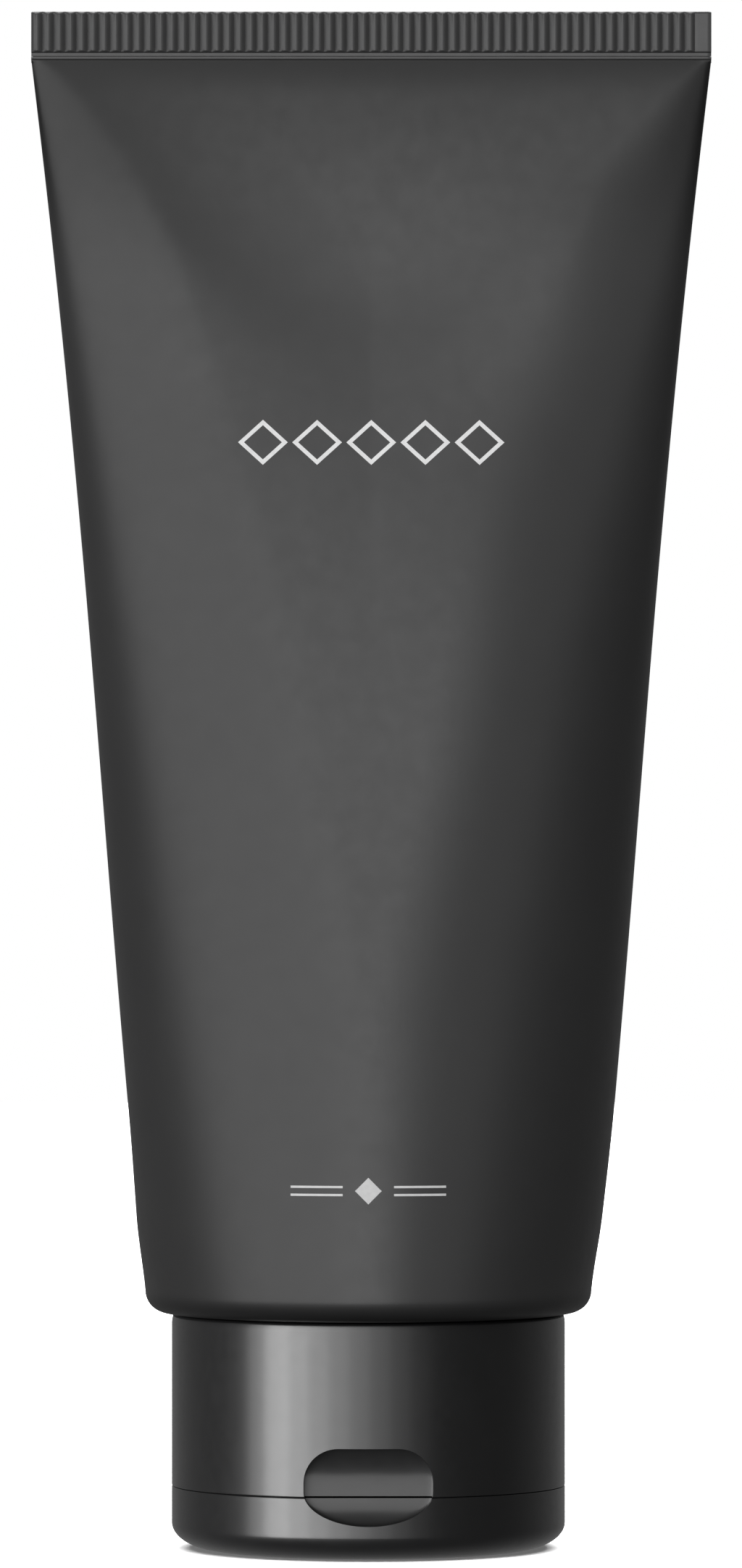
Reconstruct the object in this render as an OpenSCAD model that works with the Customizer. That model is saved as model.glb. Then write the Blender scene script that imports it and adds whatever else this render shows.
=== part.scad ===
// Stand-up squeeze tube with a screw-on flip-top cap. Millimetres.
// Origin: centre of the flat face of the lid that the tube stands on. +Z runs up the tube
// to its crimped end, and -Y is the front, with the printed side and the thumb scoop.

/* [Cap] */
// Outer diameter of the cap and its lid
cap_d = 45.4; // [44:0.2:48]
// Height of the cap's open rim above the standing face
cap_h = 26.9; // [26.7:0.1:27.2]
// Height of the seam between the lid and the cap
seam_z = 7.25; // [7:0.05:7.5]
// Width of the seam
seam_gap = 0.2; // [0.1:0.05:0.3]
// Thickness of the cap's and the lid's walls
wall = 1.5; // [1.2:0.1:1.8]
// Radius of the lid's edge round the standing face
lid_edge_r = 3.5; // [2:0.25:4]
// Diameter of the hole that the cream leaves by
orifice_d = 5; // [4:0.25:6]
// Stiffening ribs between the cap's outer and inner skirts
rib_fins = 8; // [6:1:12]

/* [Thumb scoop] */
// Width of the scoop across the front
scoop_w = 15.2; // [12:0.2:17]
// Height of the scoop's lower edge
scoop_low_z = 3.8; // [3.4:0.1:4.2]
// Height of the scoop's upper edge
scoop_top_z = 12.9; // [12:0.1:13.5]
// Depth of the scoop in the middle
scoop_depth = 2.8; // [2:0.1:3.2]

/* [Hinge] */
// Distance of the lid's hinge axis behind the cap's centre
hinge_y = 23; // [23:0.05:23.5]
// Width of each of the two hinge films
film_w = 4; // [3:0.5:5]
// Thickness of the hinge films
film_t = 0.25; // [0.2:0.05:0.35]
// Width of the strap that springs the lid open
strap_w = 5; // [4:0.5:6]

/* [Neck and thread] */
// Outer diameter of the tube's neck without its thread
neck_d = 24; // [23.6:0.1:24.2]
// Diameter of the neck's bore
neck_bore_d = 20.8; // [19:0.2:21]
// Diameter of the hole in the neck's end
neck_hole_d = 8; // [6:0.5:10]
// Height of the neck's end above the standing face
neck_end_z = 10.3; // [10.2:0.05:10.4]
// Rise of the thread in one turn
thread_pitch = 4.5; // [4:0.25:5]
// Height of a thread ridge
thread_h = 0.9; // [0.7:0.05:0.9]

/* [Sleeve] */
// Diameter of the round end of the sleeve, at the shoulder
shoulder_d = 51.5; // [51:0.25:53]
// Radius of the shoulder's outer edge
shoulder_r = 2.5; // [2:0.25:2.75]
// Thickness of the sleeve's wall
sleeve_t = 0.5; // [0.4:0.05:0.7]
// How far the sides bow in between the shoulder and the end seam
side_bow = 0.55; // [0:0.05:1]
// Fullness of the sleeve from front to back: 1 is a straight wedge, and less is fuller
belly = 0.72; // [0.6:0.02:1]

/* [End seam] */
// Width of the crimped end seam
crimp_w = 78.5; // [76:0.5:81]
// Height of the end seam
crimp_h = 5.6; // [4.6:0.2:8]
// Thickness of the two welded walls
crimp_t = 1.2; // [0.9:0.1:1.6]
// Height of the seam's lower edge above the standing face
crimp_z = 171.6; // [150:0.2:190]
// Distance between the ribs pressed into the seam
rib_pitch = 1.3; // [1:0.05:1.6]
// Number of ribs on each side of the seam
rib_count = 59; // [40:1:60]
// Height of a pressed rib
rib_h = 0.22; // [0.1:0.02:0.3]

/* [Hidden] */

$fn = 96;
eps = 0.1;
cap_r = cap_d / 2;
inner_r = cap_r - wall;
lid_top = seam_z - seam_gap / 2;
base_z = seam_z + seam_gap / 2;
deck_t = 1.5;
deck_top = base_z + deck_t;

// the ring that centres the closed lid, and the spout round the orifice
ring_h = 1.3;
ring_r = inner_r - 0.3;
ring_t = 1.2;
spout_r = orifice_d / 2 + 1.8;
spout_z = seam_z - 1.85;
plug_top = seam_z + 0.55;

// the threaded skirt: fit_gap from the neck's ridges, and its ridges the same from the neck
fit_gap = 0.3;
neck_r = neck_d / 2;
skirt_r = neck_r + thread_h + fit_gap;
skirt_top = cap_h - 2.8;
thread_root_w = 1.6;
thread_crest_w = 0.8;
thread_turns = 2.25;
thread_z = neck_end_z + 2.3;
steps_per_turn = 24;

washer_t = 1.1;
washer_z = deck_top + 0.05;
foil_t = 0.12;
seal_tab_w = 7;

// the shoulder slopes from the neck out to the rounded edge, just above the cap's rim
shoulder_z = cap_h + 0.3;
shoulder_in_r = inner_r - 0.5;
shoulder_in_z = shoulder_z - 0.2;
neck_top_z = cap_h - 2.3;
head_t = 1.5;
sleeve_z = shoulder_z + shoulder_r;
spigot_h = 3.3;
spigot_r = shoulder_d / 2 - sleeve_t - 0.1;

shoulder_half = shoulder_d / 2;
crimp_half = crimp_w / 2;
sleeve_segs = 64;
sleeve_rings = 20;
cream_gap = 0.15;
pad_w = scoop_w + 3.6;
pad_y = cap_r - scoop_depth - 1.2;
ear_x = strap_w / 2 + 0.8;
ear_y = inner_r - 0.1;
ear_h = 2.85;
film_h = 0.6;
strap_y = cap_r - 0.7;
strap_t = 0.4;
strap_reach = 2.7;

function ring_of(r, z, n) = [for (i = [0:n - 1]) [r * cos(360 * i / n), r * sin(360 * i / n), z]];

// sleeve: t runs from 0 at the shoulder to 1 at the end seam
function sleeve_height(t) = sleeve_z + (crimp_z - sleeve_z) * t;
function half_width(t) =
    shoulder_half + (crimp_half - shoulder_half) * t - side_bow * sin(180 * t * t);
function half_depth(t) = crimp_t / 2 + (shoulder_half - crimp_t / 2) * pow(1 - t, belly);

// One turn of the sleeve: a circle at the shoulder that flattens to a thin bar
function sleeve_ring(t, inset) =
    let (a = half_width(t) - inset, b = max(half_depth(t) - inset, 0.05))
    [for (i = [0:sleeve_segs - 1])
        let (u = 360 * i / sleeve_segs, c = cos(u))
        [max(a - b, 0) * sign(c) * pow(abs(c), 0.6) + b * c, b * sin(u), sleeve_height(t)]];

// A closed skin over rings of points, with a flat face on the first and the last ring
module skin(rings) {
    n = len(rings[0]);
    last = len(rings) - 1;
    points = [for (ring = rings) each ring];
    sides = [for (k = [0:last - 1], i = [0:n - 1])
        let (a = k * n + i, b = k * n + (i + 1) % n)
        each [[a, a + n, b + n], [a, b + n, b]]];
    ends = [[for (i = [0:n - 1]) i], [for (i = [n - 1:-1:0]) last * n + i]];
    polyhedron(points = points, faces = concat(sides, ends), convexity = 6);
}

// A right-handed ridge that winds round Z: root_r lies in the wall, and crest_r is its top
module thread_ridge(root_r, crest_r, z, turns) {
    steps = round(turns * steps_per_turn);
    outward = crest_r > root_r;
    skin([for (k = [0:steps])
        let (turn = 360 * k / steps_per_turn,
             rise = z + thread_pitch * k / steps_per_turn,
             fade = min(1, (k + 0.5) / 4, (steps - k + 0.5) / 4),
             top_r = root_r + (crest_r - root_r) * fade,
             low = [[root_r, -thread_root_w / 2], [top_r, -thread_crest_w / 2]],
             high = [[top_r, thread_crest_w / 2], [root_r, thread_root_w / 2]],
             profile = concat(low, high))
        [for (i = [0:3])
            let (p = profile[outward ? 3 - i : i])
            [p[0] * cos(turn), p[0] * sin(turn), rise + p[1]]]]);
}

// Front outline of the thumb scoop in X and Z: flat on top, and a shallow arc below
module scoop_outline() {
    half = scoop_w / 2;
    top_r = 4;
    sag = 2.8;
    arc_r = (half * half + sag * sag) / (2 * sag);
    side_z = scoop_low_z + sag;
    translate([-half + top_r, side_z]) square([scoop_w - 2 * top_r, scoop_top_z - side_z]);
    translate([-half, side_z - eps]) square([scoop_w, scoop_top_z - top_r - side_z + eps]);
    for (side = [-1, 1])
        translate([side * (half - top_r), scoop_top_z - top_r]) circle(top_r);
    intersection() {
        translate([0, scoop_low_z + arc_r]) circle(arc_r);
        translate([-half, scoop_low_z]) square([scoop_w, sag]);
    }
}

// The space of the scoop, with a floor that curves like a thumb lying across the cap
module scoop_space() {
    floor_r = 9;
    floor_y = -cap_r + scoop_depth;
    intersection() {
        translate([0, floor_y + eps, 0])
            rotate([90, 0, 0]) linear_extrude(8) scoop_outline();
        translate([-scoop_w, floor_y - floor_r, (scoop_low_z + scoop_top_z) / 2])
            rotate([0, 90, 0]) cylinder(r = floor_r, h = 2 * scoop_w);
    }
}

// Material behind the scoop, between two heights
module scoop_backing(low, high) {
    intersection() {
        translate([-pad_w / 2, -cap_r, low]) cube([pad_w, cap_r - pad_y, high - low]);
        translate([0, 0, low]) cylinder(r = inner_r + 0.4, h = high - low);
    }
}

// The two ears that the hinge films join, from one height up
module hinge_ears(low) {
    for (side = [-1, 1])
        translate([side * (ear_x + film_w / 2) - film_w / 2, ear_y, low])
            cube([film_w, hinge_y - 0.15 - ear_y, ear_h]);
}

// The notch in the back of the cap and the lid that the strap bends in
module strap_notch() {
    notch_w = strap_w + 0.6;
    translate([-notch_w / 2, strap_y - strap_t, seam_z - strap_reach])
        cube([notch_w, 3, 2 * strap_reach]);
}

module revolve(points) { rotate_extrude() polygon(points); }

// Points of an arc in the R, Z plane
function arc(r, z, radius, from, to, n = 8) =
    [for (i = [0:n]) let (a = from + (to - from) * i / n) [r + radius * cos(a), z + radius * sin(a)]];

// ---- the cap that screws onto the neck ----
module cap_base() color("#161616") difference() {
    union() {
        revolve([[inner_r, base_z], [cap_r, base_z], [cap_r, cap_h - 0.3],
                 [cap_r - 0.3, cap_h], [inner_r, cap_h]]);
        translate([0, 0, base_z]) cylinder(r = inner_r + eps, h = deck_t);
        translate([0, 0, spout_z]) cylinder(r = spout_r, h = base_z - spout_z + eps);
        difference() {
            revolve([[ring_r - ring_t, base_z - ring_h], [ring_r, base_z - ring_h],
                     [ring_r, base_z + eps], [ring_r - ring_t, base_z + eps]]);
            translate([-pad_w / 2 - 0.6, -cap_r, 0]) cube([pad_w + 1.2, cap_r / 2, base_z]);
        }
        revolve([[skirt_r, deck_top - eps], [skirt_r + wall, deck_top - eps],
                 [skirt_r + wall, skirt_top], [skirt_r + 0.4, skirt_top],
                 [skirt_r, skirt_top - 0.4]]);
        for (i = [0:rib_fins - 1])
            rotate([0, 0, 360 * (i + 0.5) / rib_fins])
                translate([skirt_r + wall - eps, -0.5, deck_top - eps])
                    cube([inner_r - skirt_r - wall + 2 * eps, 1, skirt_top - 3 - deck_top]);
        scoop_backing(base_z, scoop_top_z + 1.6);
        hinge_ears(seam_z + film_h / 2);
    }
    scoop_space();
    strap_notch();
    translate([0, 0, spout_z - 1]) cylinder(d = orifice_d, h = deck_top - spout_z + 2);
}

module cap_thread() color("#1c1c1c")
    rotate([0, 0, 90])
        thread_ridge(skirt_r + 0.15, skirt_r - thread_h,
                     thread_z - thread_pitch / 4, thread_turns + 0.25);

// ---- living hinge ----
module hinge_films() color("#202020")
    for (side = [-1, 1])
        translate([side * (ear_x + film_w / 2) - film_w / 2, hinge_y - 0.15 - film_t,
                   seam_z - film_h / 2 + 0.01])
            cube([film_w, film_t, film_h - 0.01]);

module spring_strap() color("#202020")
    translate([-strap_w / 2, strap_y, seam_z - strap_reach + 0.02])
        cube([strap_w, strap_t, 2 * strap_reach - 0.02]);

// ---- the lid, whose flat face the tube stands on ----
module flip_lid() color("#161616") difference() {
    union() {
        revolve(concat([[0, 0]], arc(cap_r - lid_edge_r, lid_edge_r, lid_edge_r, -90, 0),
                       [[cap_r, lid_top], [inner_r, lid_top], [inner_r, wall + 1],
                        [inner_r - 1, wall], [0, wall]]));
        scoop_backing(wall - eps, lid_top);
        hinge_ears(seam_z - film_h / 2 - ear_h);
    }
    scoop_space();
    strap_notch();
}

// The ring that plugs the orifice when the lid is shut
module lid_plug() color("#1c1c1c")
    revolve([[0.9, wall], [2.9, wall], [orifice_d / 2 - 0.15, wall + 0.7],
             [orifice_d / 2 - 0.15, plug_top - 0.5], [orifice_d / 2 - 0.45, plug_top],
             [0.9, plug_top]]);

// ---- foam washer between the neck's end and the cap's deck ----
module seal_washer() color("#e8e6e0") difference() {
    translate([0, 0, washer_z]) cylinder(r = neck_r - 0.1, h = washer_t);
    translate([0, 0, washer_z - 1]) cylinder(d = neck_hole_d + 1, h = washer_t + 2);
}

// ---- the moulded head: threaded neck, shoulder, and the spigot inside the sleeve ----
module tube_head() color("#3c3c3e")
    revolve(concat(
        [[neck_hole_d / 2, neck_end_z], [neck_r - 0.4, neck_end_z],
         [neck_r, neck_end_z + 0.4], [neck_r, neck_top_z - 0.5],
         [neck_r + 0.5, neck_top_z], [shoulder_in_r, shoulder_in_z]],
        arc(shoulder_half - shoulder_r, shoulder_z + shoulder_r, shoulder_r, -90, 0),
        [[spigot_r, sleeve_z], [spigot_r - 0.5, sleeve_z + spigot_h],
         [spigot_r - head_t + 0.2, sleeve_z + spigot_h], [spigot_r - head_t, sleeve_z],
         [shoulder_in_r, shoulder_in_z + head_t],
         [neck_bore_d / 2, neck_top_z + head_t - 0.3],
         [neck_bore_d / 2, neck_end_z + 1.2], [neck_hole_d / 2, neck_end_z + 1.2]]));

module neck_thread() color("#3c3c3e")
    thread_ridge(neck_r - 0.15, neck_r + thread_h, thread_z, thread_turns);

// Foil sealed across the neck's end, with its pull tab folded back under it
module peel_seal() color("#c9cacc") {
    translate([0, 0, neck_end_z - foil_t]) cylinder(r = neck_r - 0.5, h = foil_t);
    intersection() {
        translate([0, 0, neck_end_z - 1.9 * foil_t]) cylinder(r = neck_r - 0.5, h = foil_t);
        translate([-seal_tab_w / 2, -neck_r, 0]) cube([seal_tab_w, neck_r - 2, neck_end_z]);
    }
}

// ---- the sleeve: inside from the seam down, then outside back up ----
module tube_sleeve() color("#4a4a4c")
    skin(concat(
        [for (k = [sleeve_rings:-1:0]) sleeve_ring(0.99 * k / sleeve_rings, sleeve_t)],
        [for (k = [0:sleeve_rings]) sleeve_ring(k / sleeve_rings, 0)]));

// The welded seam: plain edges above and below, and a band of pressed ribs between
module end_seam() color("#4a4a4c") {
    band_z = crimp_z + 1.4;
    band_h = crimp_h - 1.6;
    ribs = [for (i = [0:rib_count - 1]) let (x = -crimp_half + i * rib_pitch)
        each [[x, crimp_t / 2], [x + rib_pitch / 2, crimp_t / 2 + rib_h]]];
    front = [for (p = ribs) [p[0], -p[1]]];
    back = [for (i = [len(ribs) - 1:-1:0]) ribs[i]];
    end_x = -crimp_half + rib_count * rib_pitch;
    translate([-crimp_half, -crimp_t / 2, crimp_z]) cube([crimp_w, crimp_t, crimp_h]);
    translate([0, 0, band_z]) linear_extrude(band_h)
        polygon(concat(front, [[end_x, -crimp_t / 2], [end_x, crimp_t / 2]], back));
}

// ---- the contents, from the neck's hole up to just under the seam ----
module cream_fill() color("#f2efe8") {
    bore_r = neck_bore_d / 2 - cream_gap;
    low_z = neck_end_z + 1.2 + cream_gap;
    cone_low = neck_top_z + head_t;
    cone_high = shoulder_in_z + head_t + 0.2;
    skin(concat(
        [ring_of(bore_r, low_z, sleeve_segs), ring_of(bore_r, cone_low, sleeve_segs),
         ring_of(shoulder_in_r - 0.3, cone_high, sleeve_segs),
         ring_of(spigot_r - head_t - 0.3, sleeve_z + 0.3, sleeve_segs),
         ring_of(spigot_r - head_t - 0.1, sleeve_z + spigot_h, sleeve_segs)],
        [for (k = [1:16]) sleeve_ring(0.05 + 0.91 * k / 16, sleeve_t + cream_gap)]));
}

cap_base();
cap_thread();
hinge_films();
spring_strap();
flip_lid();
lid_plug();
seal_washer();
tube_head();
neck_thread();
peel_seal();
tube_sleeve();
end_seam();
cream_fill();
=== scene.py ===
"""A stand-up squeeze tube with a screw-on flip-top cap, in a plain studio.

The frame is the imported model: origin at the centre of the lid's standing face, +Z up the tube, -Y its front.
Shapes are worked out in millimetres, as in part.scad, and piece() turns them into metres.
"""

import math

import bmesh
import bpy
import numpy as np
from mathutils import Matrix, Vector
from mathutils.bvhtree import BVHTree


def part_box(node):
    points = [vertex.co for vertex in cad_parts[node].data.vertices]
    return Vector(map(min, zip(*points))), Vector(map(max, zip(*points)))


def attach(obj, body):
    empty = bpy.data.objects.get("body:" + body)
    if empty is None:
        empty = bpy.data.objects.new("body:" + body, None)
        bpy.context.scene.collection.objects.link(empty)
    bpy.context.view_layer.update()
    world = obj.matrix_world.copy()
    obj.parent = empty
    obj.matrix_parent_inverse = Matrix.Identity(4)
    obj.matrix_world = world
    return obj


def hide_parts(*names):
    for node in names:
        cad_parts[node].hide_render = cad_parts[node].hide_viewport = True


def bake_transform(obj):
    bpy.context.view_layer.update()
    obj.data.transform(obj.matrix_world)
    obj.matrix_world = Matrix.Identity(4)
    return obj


MM = 0.001
SEGMENTS = 192  # round a turned part

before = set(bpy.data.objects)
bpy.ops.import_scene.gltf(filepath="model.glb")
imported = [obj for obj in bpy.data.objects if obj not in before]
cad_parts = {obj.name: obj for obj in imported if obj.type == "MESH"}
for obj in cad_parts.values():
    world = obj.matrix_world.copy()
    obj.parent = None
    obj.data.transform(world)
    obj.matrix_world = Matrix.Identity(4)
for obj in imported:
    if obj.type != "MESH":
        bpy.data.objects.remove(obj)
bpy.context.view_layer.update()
scene = bpy.context.scene


def node_box(node):
    """Lowest and highest corner of a CAD node, in millimetres."""
    return [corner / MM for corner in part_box(node)]


# ---- sizes, from the frame and, inside it, as in part.scad ----
lid_high = node_box("flip_lid")[1]
cap_low, cap_high = node_box("cap_base")
head_low = node_box("tube_head")[0]
sleeve_low, sleeve_high = node_box("tube_sleeve")
seam_low, seam_high = node_box("end_seam")
washer_low, washer_high = node_box("seal_washer")
strap_low, strap_high = node_box("spring_strap")
films_low, films_high = node_box("hinge_films")
plug_low, plug_high = node_box("lid_plug")

cap_r = lid_high.x
lid_top = lid_high.z
cap_rim = cap_high.z
spout_low = cap_low.z
wall = plug_low.z
inner_r = cap_r - wall
seam_gap = 0.2  # between the lid's edge and the cap's
seam_z = lid_top + seam_gap / 2
base_low = seam_z + seam_gap / 2
deck_top = base_low + 1.5
orifice_r = 2.5
skirt_r = 13.2
skirt_top = cap_rim - 2.8
thread_h = 0.9
thread_pitch = 4.5
neck_end = head_low.z
neck_top = cap_rim - 2.3
neck_r = washer_high.x + 0.1
thread_z = neck_end + 2.3
scoop_w = 15.2
scoop_low_z = seam_z - 3.45
scoop_top_z = seam_z + 5.65
scoop_depth = 2.8

shoulder_r = sleeve_high.y
shoulder_edge = 2.5
sleeve_t = 0.5
crimp_half = seam_high.x
crimp_z = seam_low.z
crimp_top = seam_high.z
rib_pitch = 1.3
rib_count = 59


# ---- mesh tools ----
def smoothstep(low, high, value):
    """0 up to low, 1 from high on, and a smooth step between."""
    s = np.clip((value - low) / (high - low), 0, 1)
    return s * s * (3 - 2 * s)


def piece(name, points, faces):
    """A new object from points in millimetres, with its faces turned outwards."""
    mesh = bpy.data.meshes.new(name)
    mesh.from_pydata((np.asarray(points, float) * MM).tolist(), [], faces)
    work = bmesh.new()
    work.from_mesh(mesh)
    bmesh.ops.recalc_face_normals(work, faces=work.faces)
    work.to_mesh(mesh)
    work.free()
    obj = bpy.data.objects.new(name, mesh)
    scene.collection.objects.link(obj)
    return obj


def skin(rings, loop=False):
    """Points and faces of a skin over rings of points. loop joins the last ring to the first."""
    n = len(rings[0])
    count = len(rings)
    faces = []
    for k in range(count if loop else count - 1):
        a, b = k * n, (k + 1) % count * n
        for i in range(n):
            j = (i + 1) % n
            faces.append((a + i, a + j, b + j, b + i))
    if not loop:
        faces.append(tuple(range(n)))
        faces.append(tuple((count - 1) * n + i for i in range(n)))
    return np.concatenate([np.asarray(r, float) for r in rings]), faces


def gather(parts):
    """Points and faces of several skins as one."""
    points, faces, count = [], [], 0
    for part_points, part_faces in parts:
        points.append(part_points)
        faces += [tuple(i + count for i in face) for face in part_faces]
        count += len(part_points)
    return np.concatenate(points), faces


def circle(radius, z, segments=SEGMENTS):
    """Points round the axis at one height."""
    turn = np.arange(segments) * 2 * math.pi / segments
    return np.stack([radius * np.cos(turn), radius * np.sin(turn), np.full(segments, z)], 1)


def lathe(name, profile, segments=SEGMENTS):
    """A solid turned from a closed outline of (radius, height) points. An outline that starts and ends on the
    axis closes there, and any other makes a ring."""
    if profile[0][0] > 0:
        return piece(name, *skin([circle(r, z, segments) for r, z in profile], loop=True))
    rings = [circle(r, z, segments) for r, z in profile[1:-1]]
    points, faces = skin(rings)
    faces = faces[:-2]
    first, last = len(points), len(points) + 1
    top = (len(rings) - 1) * segments
    for i in range(segments):
        j = (i + 1) % segments
        faces.append((first, j, i))
        faces.append((last, top + i, top + j))
    poles = [(0, 0, profile[0][1]), (0, 0, profile[-1][1])]
    return piece(name, np.concatenate([points, poles]), faces)


def rounded(outline, radius, steps=4):
    """The outline with its corners rounded by up to that radius. Corners on the axis stay."""
    made = []
    count = len(outline)
    for i, corner in enumerate(outline):
        before, after = outline[i - 1], outline[(i + 1) % count]
        p, a, b = (np.array(q, float) for q in (corner, before, after))
        to_a, to_b = a - p, b - p
        reach = min(radius, 0.45 * np.linalg.norm(to_a), 0.45 * np.linalg.norm(to_b))
        if p[0] == 0 or reach < 0.01:
            made.append(tuple(p))
            continue
        start = p + to_a / np.linalg.norm(to_a) * reach
        end = p + to_b / np.linalg.norm(to_b) * reach
        for k in range(steps + 1):
            s = k / steps
            made.append(tuple((1 - s) ** 2 * start + 2 * s * (1 - s) * p + s * s * end))
    return made


def arc(r, z, radius, start, end, steps=10):
    """Points of an arc in the radius, height plane, between two angles in degrees."""
    turn = np.radians(np.linspace(start, end, steps + 1))
    return [(r + radius * math.cos(a), z + radius * math.sin(a)) for a in turn]


def block(name, boxes, edge=0.15):
    """One object of separate boxes, each (low corner, high corner), with rounded edges."""
    work = bmesh.new()
    for low, high in boxes:
        cube = bmesh.ops.create_cube(work, size=1)["verts"]
        for v in cube:
            v.co = [(low[k] + high[k]) / 2 + v.co[k] * (high[k] - low[k]) for k in range(3)]
        edges = {e for v in cube for e in v.link_edges}
        if edge:
            bmesh.ops.bevel(work, geom=list(edges), offset=edge, segments=2, affect="EDGES", profile=0.5)
    bmesh.ops.scale(work, vec=(MM, MM, MM), verts=work.verts)
    mesh = bpy.data.meshes.new(name)
    work.to_mesh(mesh)
    work.free()
    obj = bpy.data.objects.new(name, mesh)
    scene.collection.objects.link(obj)
    return obj


def join(obj, tool, how):
    """Applies a boolean of tool, which is used up, to obj. how is UNION, DIFFERENCE or INTERSECT."""
    modifier = obj.modifiers.new("join", "BOOLEAN")
    modifier.operation = how
    modifier.solver = "EXACT"
    modifier.object = tool
    graph = bpy.context.evaluated_depsgraph_get()
    mesh = bpy.data.meshes.new_from_object(obj.evaluated_get(graph))
    obj.modifiers.clear()
    obj.data = mesh
    bpy.data.objects.remove(tool)


def smooth(obj, angle=38):
    """Smooth shading with sharp edges past an angle, and normals that favour the larger faces."""
    obj.data.shade_smooth()
    obj.data.set_sharp_from_angle(angle=math.radians(angle))
    weighted = obj.modifiers.new("normals", "WEIGHTED_NORMAL")
    weighted.keep_sharp = True


# ---- the cap and its lid ----
SCOOP_LIP = 0.3
SCOOP_FLOOR_R = 9.0
# The scoop's rings next to the cap's skin: (how far they stand outside the outline, share of the floor's depth)
SCOOP_WALL = ((0.09, -0.1), (0.05, 0.05), (0.02, 0.15), (0.005, 0.35), (0.0, 0.6))
# The rings of its floor: how far they stand inside the outline, as a share of the way to the middle
SCOOP_FLOOR = (0.0, 0.012, 0.04, 0.1, 0.2, 0.35, 0.5, 0.65, 0.8, 0.93)
SEAM_CLOSE = 0.065  # how much nearer the lid's edge and the cap's stand than in CAD
SEAM_SHUT = 0.09  # the same just behind the edge, which leaves them 0.02 apart
RIM_CLOSE = 0.1  # how much higher the cap's rim stands than in CAD, under the shoulder
EAR_WIDE = 4.2
EAR_TALL = 2.85
FIN_COUNT = 8


def scoop_outline(steps=14):
    """The thumb scoop's outline in X and Z, inside its rolled lip: flat on top, and half an ellipse below."""
    half = scoop_w / 2 - SCOOP_LIP
    top_r = 3.9
    low = scoop_low_z + SCOOP_LIP
    high = scoop_top_z - 0.1
    side_z = seam_z + 0.6
    sides = np.linspace(side_z, high - top_r, 6)[1:-1]
    points = [(half, z) for z in sides]
    points += arc(half - top_r, high - top_r, top_r, 0, 90, steps)
    points += [(x, high) for x in np.linspace(half - top_r, -half + top_r, 8)[1:-1]]
    points += arc(-half + top_r, high - top_r, top_r, 90, 180, steps)
    points += [(-half, z) for z in sides[::-1]]
    turn = np.linspace(math.pi, 2 * math.pi, 3 * steps)
    points += [(half * math.cos(a), side_z + (side_z - low) * math.sin(a)) for a in turn]
    return np.array(points)


def scoop_cutter():
    """The space of the thumb scoop: a rolled lip, a short wall and a floor that curves like a thumb."""
    outline = scoop_outline()
    along = np.roll(outline, -1, 0) - np.roll(outline, 1, 0)
    outwards = np.stack([along[:, 1], -along[:, 0]], 1)
    outwards /= np.linalg.norm(outwards, axis=1)[:, None]
    middle_z = (scoop_low_z + scoop_top_z) / 2

    def floor_y(z):
        return -cap_r + scoop_depth - SCOOP_FLOOR_R + np.sqrt(SCOOP_FLOOR_R**2 - (z - middle_z) ** 2)

    def wall_y(x):
        return -np.sqrt(cap_r**2 - x**2)

    def ring(points, y):
        return np.stack([points[:, 0], y, points[:, 1]], 1)

    deep = np.maximum(floor_y(outline[:, 1]) - wall_y(outline[:, 0]), 0.08)
    rings = [ring(outline + SCOOP_WALL[0][0] * outwards, np.full(len(outline), -cap_r - 3.0))]
    for spread, share in SCOOP_WALL:
        grown = outline + spread * outwards
        depth = np.minimum(share * 0.35, share * deep) if share > 0 else share
        rings.append(ring(grown, wall_y(grown[:, 0]) + depth))
    wall_foot = rings[-1][:, 1]
    centre = np.array([0, middle_z])
    for inset in SCOOP_FLOOR:
        shrunk = centre + (outline - centre) * (1 - inset)
        drop = 0.03 * max(0, 1 - inset / 0.04) ** 2
        rings.append(ring(shrunk, np.maximum(floor_y(shrunk[:, 1]) - drop, wall_foot + 0.01 * (1 + inset))))
    return piece("scoop_cutter", *skin(rings))


def hinge_ears(low, high):
    """Boxes that the hinge films join, one on each side of the strap."""
    middle = films_high.x + 0.1 - EAR_WIDE / 2
    back = films_high.y + 0.02
    boxes = [((s * middle - EAR_WIDE / 2, inner_r - 0.1, low), (s * middle + EAR_WIDE / 2, back, high))
             for s in (-1, 1)]
    return block("ears", boxes, edge=0.25)


def strap_notch():
    """The gap in cap and lid that the strap lies in."""
    half = strap_high.x + 0.3
    low = (-half, strap_low.y - 0.4, strap_low.z - 0.02)
    return block("notch", [(low, (half, cap_r + 1, strap_high.z))], edge=0)


def backing(name, low, high):
    """Material behind the scoop. Its front is cut round, so that it ends within the cap's wall."""
    half = scoop_w / 2 + 1.8
    front = block(name, [((-half, -cap_r, low), (half, -cap_r + scoop_depth + 1.2, high))], edge=0.2)
    reach = inner_r + 0.5
    inside = lathe("inside", [(0, low - 1), (reach, low - 1), (reach, high + 1), (0, high + 1)])
    join(front, inside, "INTERSECT")
    return front


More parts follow.
